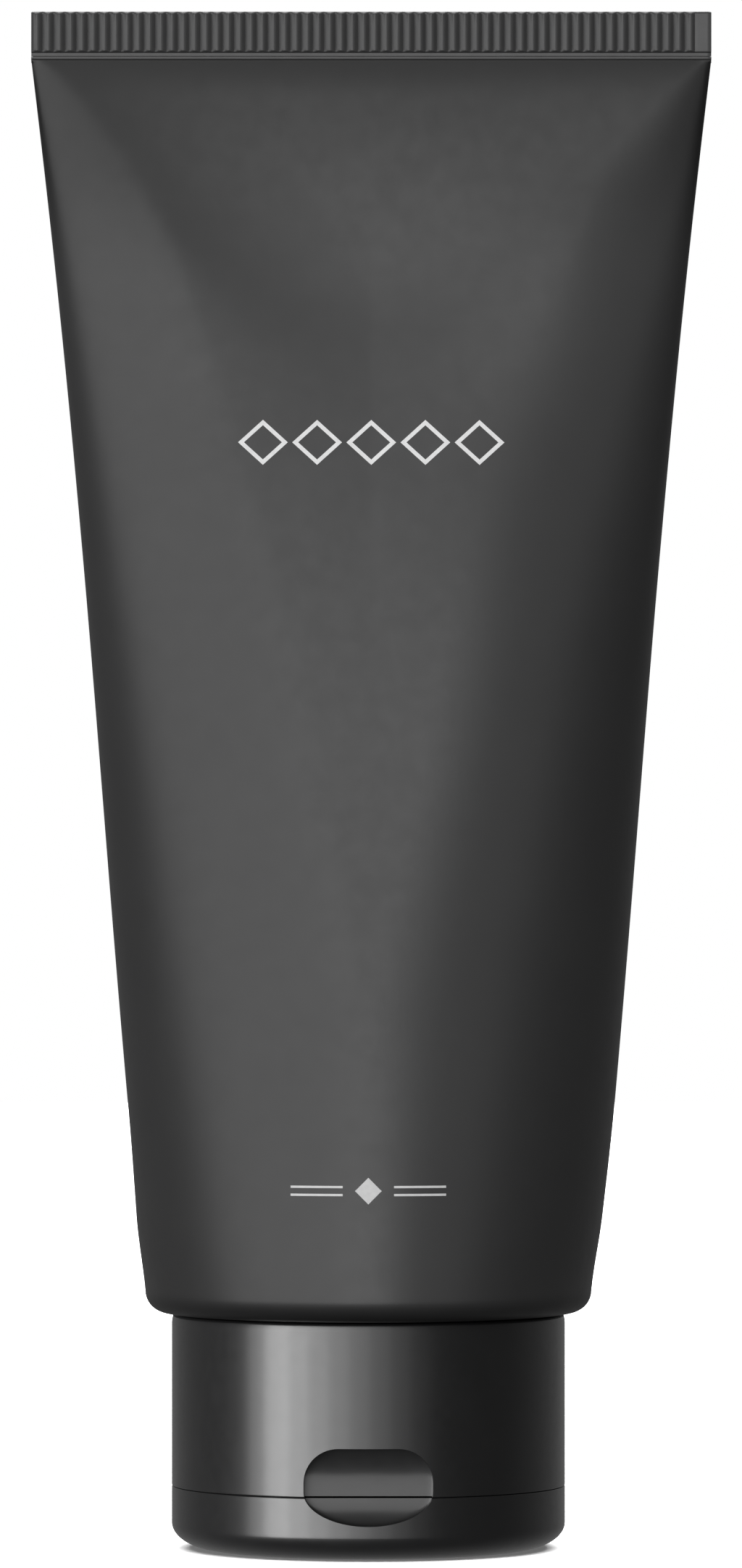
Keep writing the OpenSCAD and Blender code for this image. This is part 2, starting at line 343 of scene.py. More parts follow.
def cap_outline():
    """The cap's section: the spout, the step down to the lid, the wall, the rim, and the skirt inside."""
    spout_r = orifice_r + 1.8
    edge_z = base_low - SEAM_CLOSE
    shut_z = base_low - SEAM_SHUT
    rim = cap_rim + RIM_CLOSE
    skirt_outer = skirt_r + wall
    outline = [(orifice_r, spout_low + 0.1), (orifice_r + 0.5, spout_low), (spout_r - 0.6, spout_low + 0.05),
               (spout_r, spout_low + 0.8), (spout_r + 0.15, base_low)]
    outline += [(cap_r - 0.9, base_low), (cap_r - 0.7, shut_z), (cap_r - 0.16, shut_z), (cap_r - 0.08, edge_z),
                (cap_r, edge_z + 0.08)]
    outline += [(cap_r, z) for z in np.linspace(edge_z, rim - 0.8, 16)[1:]]
    outline += [(cap_r - 0.13, rim - 0.15), (cap_r - 0.4, rim), (inner_r, rim), (inner_r, deck_top)]
    outline += [(skirt_outer, deck_top), (skirt_outer, skirt_top), (skirt_r + 0.3, skirt_top),
                (skirt_r, skirt_top - 0.5), (skirt_r, deck_top), (orifice_r, deck_top)]
    return outline


def centring_ring():
    """The ring that stands down into the lid, open behind the scoop."""
    outer, inner = inner_r - 0.3, inner_r - 1.5
    low, high = base_low - 1.3, base_low + 0.3
    ring = lathe("ring", rounded([(inner, low), (outer, low), (outer, high), (inner, high)], 0.3))
    gap = scoop_w / 2 + 2.4
    join(ring, block("ring_gap", [((-gap, -cap_r, 0), (gap, -cap_r / 2, base_low + 1))], edge=0), "DIFFERENCE")
    return ring


def fin(turn):
    """A rib between the skirt and the wall, turned about the axis by an angle in degrees."""
    low = (skirt_r + wall - 0.3, -0.5, deck_top - 0.3)
    made = block("fin", [(low, (inner_r + 0.3, 0.5, skirt_top - 3))], edge=0.2)
    made.data.transform(Matrix.Rotation(math.radians(turn), 4, "Z"))
    return made


def make_cap():
    """The cap, with its skirt and fins, the ring and half of the scoop."""
    cap = lathe("cap", rounded(cap_outline(), 0.22))
    join(cap, centring_ring(), "UNION")
    for k in range(FIN_COUNT):
        join(cap, fin(360 / FIN_COUNT * (k + 0.5)), "UNION")
    join(cap, backing("backing", base_low + 0.02, scoop_top_z + 1.6), "UNION")
    join(cap, hinge_ears(films_high.z, films_high.z + EAR_TALL), "UNION")
    join(cap, scoop_cutter(), "DIFFERENCE")
    join(cap, strap_notch(), "DIFFERENCE")
    smooth(cap)
    return cap


def lid_outline():
    """The lid's section: the gate mark and standing ring below, the rounded edge, the wall and the inside."""
    edge_wide, edge_tall = 5.0, 3.0
    outline = [(0, 0.4), (0.9, 0.4), (1.1, 0.25), (15.2, 0.25), (15.8, 0.0)]
    outline += [(cap_r - edge_wide + edge_wide * math.cos(a), edge_tall + edge_tall * math.sin(a))
                for a in np.linspace(-math.pi / 2, 0, 19)]
    edge_z = lid_top + SEAM_CLOSE
    outline += [(cap_r, z) for z in np.linspace(edge_tall, edge_z, 6)[1:-1]]
    shut_z = lid_top + SEAM_SHUT
    outline += [(cap_r, edge_z - 0.08), (cap_r - 0.08, edge_z), (cap_r - 0.16, shut_z), (cap_r - 0.7, shut_z),
                (cap_r - 0.9, lid_top)]
    outline += [(inner_r, lid_top), (inner_r, wall + 1), (inner_r - 1, wall), (0, wall)]
    return outline


def make_lid():
    """The lid, with the other half of the scoop."""
    lid = lathe("lid", rounded(lid_outline(), 0.22))
    join(lid, backing("lid_backing", wall - 0.1, lid_top - 0.02), "UNION")
    join(lid, hinge_ears(films_low.z - EAR_TALL, films_low.z - 0.01), "UNION")
    join(lid, scoop_cutter(), "DIFFERENCE")
    join(lid, strap_notch(), "DIFFERENCE")
    smooth(lid)
    return lid


# ---- the sleeve ----
RING_POINTS = 320
LEAN = 0.33  # how far the filled tube stands to the right of the cap's centre
SEAM_DEPTH = 0.42  # half the sleeve's depth where it meets the end seam
RIB_DEPTH = 0.38  # from a rib's crest to its groove
HOLLOW_DEPTH = 2.3  # the hollow between the creases
HOLLOW_REACH = 24.0  # how far in from a crease the hollow is at its deepest


def rise_of(z):
    """0 at the shoulder and 1 at the end seam."""
    return (z - sleeve_low.z) / (crimp_z - sleeve_low.z)


def half_width(t):
    """Half the sleeve's width: a straight taper, drawn in near the top and fuller near the shoulder."""
    taper = shoulder_r + (crimp_half - shoulder_r) * t
    drawn_in = 0.55 * math.sin(math.pi * t * t)
    filled = float(smoothstep(0, 0.06, t) * (1 - smoothstep(0.12, 0.6, t)))
    return taper - drawn_in + 0.34 * filled


def half_depth(t):
    """Half the sleeve's depth: full at the shoulder, and falling ever faster to the end seam."""
    power, ease = 0.72, 0.07
    share = ((1 - t + ease) ** power - ease**power) / ((1 + ease) ** power - ease**power)
    return SEAM_DEPTH + (shoulder_r - SEAM_DEPTH) * share


def flat_share(t):
    """The flat face's share of the width, between the two creases that run down from the end seam's corners."""
    return np.maximum(0.0, 1 - 1.17 * (1 - t) ** 0.6)


def even_ring(a, b, flat, z):
    """Points evenly spaced round a flat bar with elliptical ends, anticlockwise from the right edge."""
    turn = np.linspace(-math.pi / 2, math.pi / 2, 400)
    right = np.stack([flat + (a - flat) * np.cos(turn), b * np.sin(turn)], 1)
    half = len(turn) // 2
    dense = np.concatenate([right[half:], -right, right[:half], right[half:half + 1]])
    length = np.concatenate([[0], np.cumsum(np.linalg.norm(np.diff(dense, axis=0), axis=1))])
    at = np.arange(RING_POINTS) / RING_POINTS * length[-1]
    x, y = np.interp(at, length, dense[:, 0]), np.interp(at, length, dense[:, 1])
    return np.stack([x, y, np.full(RING_POINTS, z)], 1)


def dents(points):
    """How far each point of the sleeve's skin moves in Y: a shallow hollow between the creases below the end
    seam's corners, which start sharp and soften downwards, and the slight unevenness of a filled tube."""
    x, y, z = points.T
    t = rise_of(z)
    side = np.where(y < 0, -1.0, 1.0)
    width = np.array([half_width(k) for k in np.clip(t, 0, 1)])
    inside = width * flat_share(np.clip(t, 0, 1)) - np.abs(x)
    softness = 1.4 + 15.0 * (1 - smoothstep(0.66, 0.86, t))
    inwards = 0.5 * (inside + np.sqrt(inside**2 + softness**2))
    hollow = 1 - np.clip(1 - inwards / HOLLOW_REACH, 0, 1) ** 2
    creased = smoothstep(0.46, 0.92, t) * (1 - smoothstep(0.78, 1.0, t))
    uneven = 0.10 * np.sin(0.11 * x + 0.07 * z + 0.6) * np.sin(0.045 * z - 0.05 * x + 1.1)
    belly = np.clip(1 - np.abs(x) / width, 0, 1) * smoothstep(0.0, 0.12, t) * (1 - smoothstep(0.9, 1.0, t))
    return side * (uneven * belly - HOLLOW_DEPTH * hollow * creased)


def sleeve_ring(t, inset=0.0):
    """The sleeve's outline at one height. Its front right and back left stay rounder than the other sides."""
    wide = half_width(t) - inset
    deep = max(half_depth(t) - inset, 0.04)
    flat = max(half_width(t) * float(flat_share(t)) - inset, 0)
    ring = even_ring(wide, deep, flat, sleeve_low.z + (crimp_z - sleeve_low.z) * t)
    x, y = ring[:, 0], ring[:, 1]
    oval = np.sign(y) * deep * np.sqrt(np.clip(1 - (x / wide) ** 2, 0, 1))
    rounder = 0.8 * float(smoothstep(0.42, 0.72, t) * (1 - smoothstep(0.9, 1.0, t)))
    ring[:, 1] = np.where(x * y < 0, y + (oval - y) * rounder, y)
    ring[:, 1] += dents(ring) * float(smoothstep(0.4, 2.0, half_depth(t)))
    ring[:, 0] += LEAN * float(smoothstep(0, 0.15, t))
    return ring


def make_sleeve():
    """The film: out round the shoulder's edge, up to the end seam, and back down inside."""
    turn_r = shoulder_r - shoulder_edge
    shoulder = [even_ring(r, r, 0, z) for r, z in arc(turn_r, sleeve_low.z, shoulder_edge, -82, 0, 9)[:-1]]
    rises = 1 - (1 - np.linspace(0, 1, 150)) ** 1.25
    outside = [sleeve_ring(t) for t in rises]
    inner = [sleeve_ring(t, sleeve_t) for t in rises[-12:0:-6]]
    floor = [even_ring(r, r, 0, z) for r, z in arc(turn_r, sleeve_low.z, shoulder_edge - sleeve_t, 0, -82, 5)]
    return piece("sleeve", *skin(inner + floor + shoulder + outside))


def seam_rows(rise):
    """Rows up the end seam: (height above its foot, half its thickness, how strongly the ribs show)."""
    bead = [(-0.3, 0.12, 0), (0.0, 0.36, 0), (0.06, 0.56, 0), (0.14, 0.68, 0), (0.24, 0.71, 0), (0.36, 0.68, 0),
            (0.44, 0.56, 0), (0.48, 0.2, 0)]
    ribs = [(0.86, 0.2, 0), (0.92, 0.48, 0), (0.98, 0.6, 0.5), (1.1, 0.65, 0.9), (1.3, 0.65, 1),
            (rise * 0.6, 0.65, 1), (rise - 0.34, 0.65, 1)]
    top = [(rise - 0.22, 0.64, 0.6), (rise - 0.1, 0.62, 0.1), (rise - 0.02, 0.58, 0), (rise, 0.5, 0)]
    return bead + ribs + top


def make_seam():
    """The welded band: a plain bead, a groove, then pressed ribs, with a plain strip at the right."""
    steps = 12
    ribbed = np.arange(rib_count * steps) * rib_pitch / steps
    x = np.concatenate([ribbed, np.linspace(rib_count * rib_pitch, 2 * crimp_half, 8)]) - crimp_half
    phase = (x + crimp_half) / rib_pitch
    rib = np.where(phase < rib_count, np.sqrt(0.5 - 0.5 * np.cos(2 * math.pi * phase)), 0.35)
    rise = crimp_top - crimp_z
    rings = []
    for up, half, strength in seam_rows(rise):
        thick = half + RIB_DEPTH * strength * (rib - 0.5)
        ends = smoothstep(crimp_half - 0.25, crimp_half, np.abs(x))
        top = smoothstep(0.3, 0, rise - up)
        thick = thick - 0.12 * (ends + top)
        wave = 0.05 * np.sin(x * 0.09 + 0.4) * (up / rise)
        along = x * (1 - 0.002 * (up > rise - 0.1))
        level = np.full(len(x), crimp_z + up)
        front = np.stack([along, wave - thick, level], 1)
        back = np.stack([along, wave + thick, level], 1)
        rings.append(np.concatenate([front, back[::-1]]) + [LEAN, 0, 0])
    seam = piece("seam", *skin(rings))
    smooth(seam)
    return seam


# ---- thread ridges ----
# A ridge's section: (how far out, from 0 at its root to 1 at its crest; height above or below its middle)
RIDGE = ((0, -0.8), (0.45, -0.66), (0.85, -0.46), (1, -0.22), (1, 0.22), (0.85, 0.46), (0.45, 0.66), (0, 0.8))


def ridge(name, root_r, crest_r, z, turns, start=0.0):
    """A right-handed ridge with a rounded crest that fades in and out at its ends."""
    per_turn = 72
    steps = round(turns * per_turn)
    rings = []
    for k in range(steps + 1):
        turn = start + 2 * math.pi * k / per_turn
        middle = z + thread_pitch * k / per_turn
        fade = min(1, (k + 0.4) / 9, (steps - k + 0.4) / 9) ** 0.6
        ring = []
        for out, up in RIDGE:
            radius = root_r + (crest_r - root_r) * out * fade
            ring.append((radius * math.cos(turn), radius * math.sin(turn), middle + up))
        rings.append(ring)
    made = piece(name, *skin(rings))
    smooth(made)
    return made


# ---- the head and what the cap hides ----
def make_head():
    """The moulded neck and shoulder, just inside the sleeve's turned-in edge."""
    slope_r = inner_r - 0.5
    slope_z = cap_rim + 0.1
    turn_r = shoulder_r - shoulder_edge
    turn_z = sleeve_low.z
    inside_r = shoulder_edge - sleeve_t - 0.04
    spigot_r = turn_r + inside_r
    spigot_top = turn_z + 3.3
    bore_r = 10.4
    mouth_r = 4
    roof = 1.2  # the thickness of the neck's end
    outline = [(mouth_r, neck_end), (neck_r - 0.4, neck_end), (neck_r, neck_end + 0.4),
               (neck_r, neck_top - 0.5), (neck_r + 0.5, neck_top), (slope_r, slope_z),
               (turn_r, turn_z - shoulder_edge + 0.03)]
    outline += arc(turn_r, turn_z, inside_r, -80, 0, 8)
    outline += [(spigot_r - 0.5, spigot_top), (spigot_r - 1.3, spigot_top), (spigot_r - 1.5, turn_z),
                (slope_r, slope_z + 1.5), (bore_r, neck_top + roof), (bore_r, neck_end + roof),
                (mouth_r, neck_end + roof)]
    head = lathe("head", rounded(outline, 0.18))
    smooth(head)
    return head


def make_washer():
    """The foam ring between the neck's end and the cap's deck."""
    low, high = washer_low.z, washer_high.z
    inner, outer = 4.5, washer_high.x
    washer = lathe("washer", rounded([(inner, low), (outer, low), (outer, high), (inner, high)], 0.14))
    smooth(washer)
    return washer


def make_plug():
    """The hollow plug that closes the orifice."""
    top = plug_high.z
    bore_r = 0.9
    plug_r = 2.35
    outline = [(bore_r, wall - 0.1), (2.9, wall - 0.1), (plug_r, wall + 0.7), (plug_r, top - 0.5), (2.05, top),
               (bore_r, top)]
    plug = lathe("plug", rounded(outline, 0.2), 96)
    smooth(plug)
    return plug


def make_foil():
    """The seal over the neck's hole: pressed up a little where nothing backs it, with a folded pull tab."""
    edge = neck_r - 0.5
    low = neck_end - 0.12
    outline = [(0, low + 0.05), (2.0, low + 0.05), (3.6, low + 0.045), (4.2, low)]
    outline += [(r, low) for r in np.linspace(5.2, edge - 0.15, 9)]
    outline += [(edge, low + 0.03), (edge, neck_end), (4.0, neck_end), (0, neck_end)]
    foil = lathe("foil", outline)
    join(foil, pull_tab(-edge + 0.7, low - 0.015), "UNION")
    smooth(foil, 25)
    return foil


def pull_tab(root, top):
    """The tab folded back under the foil: straight from its root, with a round end."""
    half = 3.5
    bevel = 0.12
    bend = -2.2 - half
    straight = np.linspace(root, bend, 6)[:-1]
    rounding = bend + half * np.sin(np.linspace(0, 1.45, 12))
    rings = []
    for y in np.concatenate([straight, rounding]):
        wide = half * math.sqrt(max(0.0, 1 - max(0.0, (y - bend) / half) ** 2))
        inner = wide - bevel
        rings.append([(-wide, y, top - 0.05), (-inner, y, top - 0.09), (inner, y, top - 0.09),
                      (wide, y, top - 0.05), (inner, y, top), (-inner, y, top)])
    return piece("tab", *skin(rings))


def make_cream():
    """The contents: they fill the sleeve to just inside its film."""
    gap = 0.5
    steps = ((10.0, neck_end + 1.5), (10.0, neck_top + 1.8), (inner_r - 1.2, cap_rim + 2.6),
             (23.0, sleeve_low.z + 3.4))
    foot = [circle(r, z, RING_POINTS) for r, z in steps]
    body = [sleeve_ring(t, sleeve_t + gap) for t in np.linspace(0.05, 0.955, 40)]
    cream = piece("cream", *skin(foot + body))
    smooth(cream)
    return cream


def make_films():
    """The two thin films that the lid turns on, waisted in the middle."""
    rings_of = []
    for side in (-1, 1):
        near, far = side * (films_high.x - 4.0), side * films_high.x
        rings = []
        for z in np.linspace(films_low.z - 0.15, films_high.z + 0.15, 15):
            waist = 0.07 * math.exp(-(((z - seam_z) / 0.2) ** 2))
            front, back = films_low.y + waist, films_high.y - waist
            rings.append([(near, front, z), (far, front, z), (far, back, z), (near, back, z)])
        rings_of.append(skin(rings))
    films = piece("films", *gather(rings_of))
    smooth(films)
    return films


def make_strap():
    """The strap that springs the lid open."""
    half = strap_high.x
    inner = half - 0.1
    bevel = 0.08
    rings = []
    for z in np.linspace(strap_low.z, strap_high.z, 41):
        thin = 0.05 * math.exp(-(((z - seam_z) / 1.1) ** 2))
        front, back = strap_low.y + thin, strap_high.y - thin
        rings.append([(-inner, front, z), (inner, front, z), (half, front + bevel, z), (half, back - bevel, z),
                      (inner, back, z), (-inner, back, z), (-half, back - bevel, z), (-half, front + bevel, z)])
    strap = piece("strap", *skin(rings))
    smooth(strap)
    return strap


# ---- the printed ornaments ----
INK_PROUD = 0.03  # how far the ink stands out of the film
INK_DEEP = 0.12  # how far its back lies inside


class Surface:
    """The front of a mesh, as its Y over X and Z."""

    def __init__(self, obj):
        points = [tuple(v.co / MM) for v in obj.data.vertices]
        self.tree = BVHTree.FromPolygons(points, [tuple(p.vertices) for p in obj.data.polygons])

    def at(self, x, z):
        return self.tree.ray_cast(Vector((x, -200.0, z)), Vector((0, 1, 0)))[0].y


def ink_loop(surface, centre, half_w, half_h, stroke, steps=10):
    """A thin outlined lozenge."""
    corners = [(1, 0), (0, 1), (-1, 0), (0, -1), (1, 0)]
    path = [np.array(a) * (1 - k / steps) + np.array(b) * (k / steps)
            for a, b in zip(corners, corners[1:]) for k in range(steps)]
    shrink = 1 - stroke * math.hypot(half_w, half_h) / (half_w * half_h)
    rings = []
    for scale, depth in ((1, -INK_PROUD), (shrink, -INK_PROUD), (shrink, INK_DEEP), (1, INK_DEEP)):
        spots = [(centre[0] + p[0] * half_w * scale, centre[1] + p[1] * half_h * scale) for p in path]
        rings.append([(x, surface.at(x, z) + depth, z) for x, z in spots])
    return skin(rings, loop=True)


def ink_bar(surface, spots):
    """A flat mark along X: spots are (x, z, half height)."""
    rings = []
    for x, z, half in spots:
        low, high = surface.at(x, z - half), surface.at(x, z + half)
        rings.append([(x, low - INK_PROUD, z - half), (x, high - INK_PROUD, z + half),
                      (x, high + INK_DEEP, z + half), (x, low + INK_DEEP, z - half)])
    return skin(rings)


def make_upper_mark(surface):
    """A chain of outlined lozenges."""
    count = 5
    step = 6.2
    tall = 5.2
    stroke = 0.46
    centre_z = 127.2
    marks = []
    for k in range(count):
        centre_x = LEAN + step * (k - (count - 1) / 2)
        marks.append(ink_loop(surface, (centre_x, centre_z), step / 2 - 0.25, tall / 2, stroke))
    return piece("upper_mark", *gather(marks))


def make_lower_mark(surface):
    """Two rules on each side of a small diamond."""
    centre_z = 42.1
    diamond = 1.5
    rule_half = 0.13
    rule_offset = 0.45
    rule = np.linspace(2.9, 8.8, 16)
    across = np.linspace(-diamond, diamond, 17)
    marks = [ink_bar(surface, [(x, centre_z, max(0.02, diamond - abs(x))) for x in across])]
    for side in (-1, 1):
        for offset in (rule_offset, -rule_offset):
            marks.append(ink_bar(surface, [(side * x, centre_z + offset, rule_half) for x in rule]))
    return piece("lower_mark", *gather(marks))


# ---- materials ----
PATTERN_LOW = 0.3  # where most of a noise's values lie
PATTERN_HIGH = 0.7


def material(name, **values):
    """A new material whose plain values are set on the shader's own sockets."""
    made = bpy.data.materials.new(name)
    made.use_nodes = True
    shader = made.node_tree.nodes["Principled BSDF"]
    for socket, value in values.items():
        shader.inputs[socket.replace("_", " ")].default_value = value
    return made


def noise(made, size, stretch=(1, 1, 1), detail=3.0):
    """A noise whose features are about size across, in millimetres, and longer where stretch is below 1."""
    tree = made.node_tree
    place = tree.nodes.new("ShaderNodeTexCoord")
    mapping = tree.nodes.new("ShaderNodeMapping")
    mapping.inputs["Scale"].default_value = stretch
    texture = tree.nodes.new("ShaderNodeTexNoise")
    texture.inputs["Scale"].default_value = 1 / (size * MM)
    texture.inputs["Detail"].default_value = detail
    tree.links.new(place.outputs["Object"], mapping.inputs["Vector"])
    tree.links.new(mapping.outputs["Vector"], texture.inputs["Vector"])
    return texture.outputs["Fac"]


def cells(made, size):
    """Rounded cells about size across, in millimetres."""
    tree = made.node_tree
    place = tree.nodes.new("ShaderNodeTexCoord")
    texture = tree.nodes.new("ShaderNodeTexVoronoi")
    texture.inputs["Scale"].default_value = 1 / (size * MM)
    tree.links.new(place.outputs["Object"], texture.inputs["Vector"])
    return texture.outputs["Distance"]


def vary(made, pattern, socket, low, high):
    """Lets a pattern move a number of the shader between low and high."""
    tree = made.node_tree
    spread = tree.nodes.new("ShaderNodeMapRange")
    spread.inputs["From Min"].default_value = PATTERN_LOW
    spread.inputs["From Max"].default_value = PATTERN_HIGH
    spread.inputs["To Min"].default_value = low
    spread.inputs["To Max"].default_value = high
    tree.links.new(pattern, spread.inputs["Value"])
    tree.links.new(spread.outputs["Result"], tree.nodes["Principled BSDF"].inputs[socket])


def tint(made, pattern, dark, light):
    """Lets a pattern move the colour between two."""
    tree = made.node_tree
    ramp = tree.nodes.new("ShaderNodeValToRGB")
    ramp.color_ramp.elements[0].position = PATTERN_LOW
    ramp.color_ramp.elements[1].position = PATTERN_HIGH
    ramp.color_ramp.elements[0].color = (*dark, 1)
    ramp.color_ramp.elements[1].color = (*light, 1)
    tree.links.new(pattern, ramp.inputs["Fac"])
    tree.links.new(ramp.outputs["Color"], tree.nodes["Principled BSDF"].inputs["Base Color"])


def paint_shade_by_height(made, plain, dark, share):
    """Paints shade into the colour by height, in millimetres: unchanged at plain, and multiplied by share at
    dark.
    """
    tree = made.node_tree
    place = tree.nodes.new("ShaderNodeTexCoord")
    split = tree.nodes.new("ShaderNodeSeparateXYZ")
    fade = tree.nodes.new("ShaderNodeMapRange")
    fade.interpolation_type = "SMOOTHSTEP"
    fade.inputs["From Min"].default_value = plain * MM
    fade.inputs["From Max"].default_value = dark * MM
    fade.inputs["To Min"].default_value = 1.0
    fade.inputs["To Max"].default_value = share
    mix = tree.nodes.new("ShaderNodeVectorMath")
    mix.operation = "SCALE"
    colour = tree.nodes["Principled BSDF"].inputs["Base Color"]
    tree.links.new(place.outputs["Object"], split.inputs["Vector"])
    tree.links.new(split.outputs["Z"], fade.inputs["Value"])
    tree.links.new(colour.links[0].from_socket, mix.inputs[0])
    tree.links.new(fade.outputs["Result"], mix.inputs["Scale"])
    tree.links.new(mix.outputs["Vector"], colour)


def relief(made, *layers):
    """Bumps, each (pattern, depth in millimetres), one over the other."""
    tree = made.node_tree
    normal = None
    for pattern, depth in layers:
        bump = tree.nodes.new("ShaderNodeBump")
        bump.inputs["Distance"].default_value = depth * MM
        tree.links.new(pattern, bump.inputs["Height"])
        if normal:
            tree.links.new(normal, bump.inputs["Normal"])
        normal = bump.outputs["Normal"]
    tree.links.new(normal, tree.nodes["Principled BSDF"].inputs["Normal"])


def satin_film(name, grey, fades=()):
    """Satin-lacquered dark grey polyethylene, with a fine orange peel and faint lines up the tube. Each painted
    shade is the (plain, dark, share) of a darkening of the colour by height."""
    made = material(name, IOR=1.5, Specular_IOR_Level=0.5)
    tint(made, noise(made, 9), (grey, grey, grey * 1.01), (grey * 1.06, grey * 1.06, grey * 1.07))
    # painted shade: the colour darkens by height towards the film's ends
    for plain, dark, share in fades:
        paint_shade_by_height(made, plain, dark, share)
    vary(made, noise(made, 2.2), "Roughness", 0.40, 0.44)
    relief(made, (noise(made, 0.8, (1, 1, 0.04)), 0.003), (noise(made, 0.5), 0.004))
    return made


def gloss_plastic():
    """The cap and lid: polished black polypropylene with the slight waviness of a moulding. The polish is a
    coat over a duller body."""
    made = material("gloss_plastic", IOR=1.5, Coat_Weight=1.0, Coat_Roughness=0.2, Coat_IOR=1.62)
    tint(made, noise(made, 5), (0.0065, 0.0065, 0.0068), (0.0085, 0.0085, 0.0088))
    vary(made, noise(made, 1.4), "Roughness", 0.4, 0.46)
    relief(made, (noise(made, 4.0), 0.01), (noise(made, 0.3), 0.0006))
    return made


def hinge_plastic():
    """The films and the strap: the cap's plastic, drawn thin and dulled by bending."""
    made = material("hinge_plastic", IOR=1.5)
    tint(made, noise(made, 0.9, (0.2, 1, 1)), (0.010, 0.010, 0.0105), (0.018, 0.018, 0.0185))
    vary(made, noise(made, 0.5), "Roughness", 0.32, 0.42)
    relief(made, (noise(made, 0.35, (0.1, 1, 1)), 0.008))
    return made


def head_plastic():
    """The neck and shoulder: dark grey polyethylene, a little waxy."""
    made = material("head_plastic", IOR=1.5)
    tint(made, noise(made, 3), (0.036, 0.036, 0.037), (0.044, 0.044, 0.045))
    vary(made, noise(made, 0.9), "Roughness", 0.36, 0.44)
    relief(made, (noise(made, 1.2), 0.006), (noise(made, 0.2), 0.001))
    return made


def foam():
    """The washer: closed-cell white foam."""
    made = material("foam", Subsurface_Weight=0.15, Subsurface_Scale=0.5 * MM)
    tint(made, noise(made, 0.7), (0.74, 0.73, 0.70), (0.86, 0.85, 0.82))
    vary(made, noise(made, 0.4), "Roughness", 0.7, 0.85)
    relief(made, (cells(made, 0.3), 0.05), (noise(made, 0.12), 0.01))
    return made


def foil_metal():
    """The peel seal: embossed aluminium."""
    made = material("foil_metal", Metallic=1.0)
    tint(made, noise(made, 1.5), (0.74, 0.74, 0.75), (0.86, 0.86, 0.87))
    vary(made, noise(made, 0.6), "Roughness", 0.24, 0.36)
    relief(made, (noise(made, 2.4), 0.08), (cells(made, 0.45), 0.02))
    return made


def cream_gel():
    """The contents, which the foil and the sleeve hide."""
    made = material("cream_gel", Subsurface_Weight=0.3, Subsurface_Scale=1.5 * MM)
    tint(made, noise(made, 4), (0.86, 0.85, 0.81), (0.92, 0.91, 0.88))
    vary(made, noise(made, 1.5), "Roughness", 0.22, 0.36)
    relief(made, (noise(made, 3.0), 0.15))
    return made


def ink(name, shade):
    """Screen-printed ink: slightly uneven, as it dries on the film's orange peel."""
    made = material(name, IOR=1.45)
    tint(made, noise(made, 0.6), (shade * 0.9,) * 3, (shade,) * 3)
    vary(made, noise(made, 0.3), "Roughness", 0.45, 0.6)
    relief(made, (noise(made, 0.2), 0.004))
    return made


def floor_paper():
    """The floor: matt white paper, with a faint glow that keeps it near white."""
    made = material("floor_paper", Roughness=0.9, Specular_IOR_Level=0.0, Emission_Color=(1, 1, 1, 1),
                    Emission_Strength=0.12)
    tint(made, noise(made, 2.0), (0.88, 0.88, 0.88), (0.90, 0.90, 0.90))
    return made


# ---- the object ----
def dress(obj, name, body, slot, material, *nodes):
    """Names a piece, puts it on its body in place of CAD nodes, and gives it its material. A piece that bends
    between two bodies has no body here."""
    obj.name = name
    obj.data.name = name
    obj.data.materials.clear()
    obj.data.materials.append(material)
    if body:
        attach(obj, body)
    if nodes:
        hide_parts(*nodes)
    return obj


PAINTED_SHADE_OVER_HEAD = (30.4, 27.6, 0.4)  # painted shade on the sleeve's film: its colour darkened by height towards its two welds, under the shoulder and below the end seam, each as (plain, dark, share)
PAINTED_SHADE_BELOW_SEAM = (146.0, 164.0, 0.38)
SLEEVE_GREY = 0.035
# painted light: the end seam's film is a lighter copy of the sleeve's, so that its ribs read brighter
SEAM_PAINTED_LIGHT_GREY = 0.055


def build_cap(gloss):
    """The cap with its lid, plug, thread and washer."""
    dress(make_cap(), "cap_shell", "cap", "cap_plastic", gloss, "cap_base")
    dress(make_lid(), "flip_top_lid", "lid", "cap_plastic", gloss, "flip_lid")
    dress(make_plug(), "orifice_plug", "lid", "cap_plastic", gloss, "lid_plug")
    start_z = thread_z - thread_pitch / 4
    cap_ridge = ridge("cap_ridge", skirt_r + 0.15, skirt_r - thread_h, start_z, 2.5, math.pi / 2)
    dress(cap_ridge, "cap_ridge", "cap", "cap_plastic", gloss, "cap_thread")
    dress(make_washer(), "foam_washer", "washer", "washer_foam", foam(), "seal_washer")


def build_tube(film, seam_film_painted_light, moulded):
    """The sleeve, the end seam, the head, the seal, the contents and the print."""
    sleeve = make_sleeve()
    surface = Surface(sleeve)
    smooth(sleeve)
    dress(sleeve, "sleeve", "tube", "sleeve_film", film, "tube_sleeve")
    dress(make_seam(), "crimped_seam", "tube", "sleeve_film", seam_film_painted_light, "end_seam")
    dress(make_head(), "moulded_head", "tube", "head_plastic", moulded, "tube_head")
    neck_ridge = ridge("neck_ridge", neck_r - 0.15, neck_r + thread_h, thread_z, 2.25)
    dress(neck_ridge, "neck_ridge", "tube", "head_plastic", moulded, "neck_thread")
    dress(make_foil(), "foil_seal", "tube", "seal_foil", foil_metal(), "peel_seal")
    dress(make_cream(), "contents", "tube", "cream", cream_gel(), "cream_fill")
    dress(make_upper_mark(surface), "upper_mark", "tube", None, ink("white_ink", 0.95))
    dress(make_lower_mark(surface), "lower_mark", "tube", None, ink("grey_ink", 0.72))


def build_hinge(plastic):
    """The films and the strap between cap and lid, each on no body, with its placing baked into its mesh."""
    for made, name, node, reach in ((make_films(), "hinge_film_pair", "hinge_films", 0.3),
                                    (make_strap(), "lid_strap", "spring_strap", 1.35)):
        dress(made, name, None, "cap_plastic", plastic, node)
        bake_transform(made)


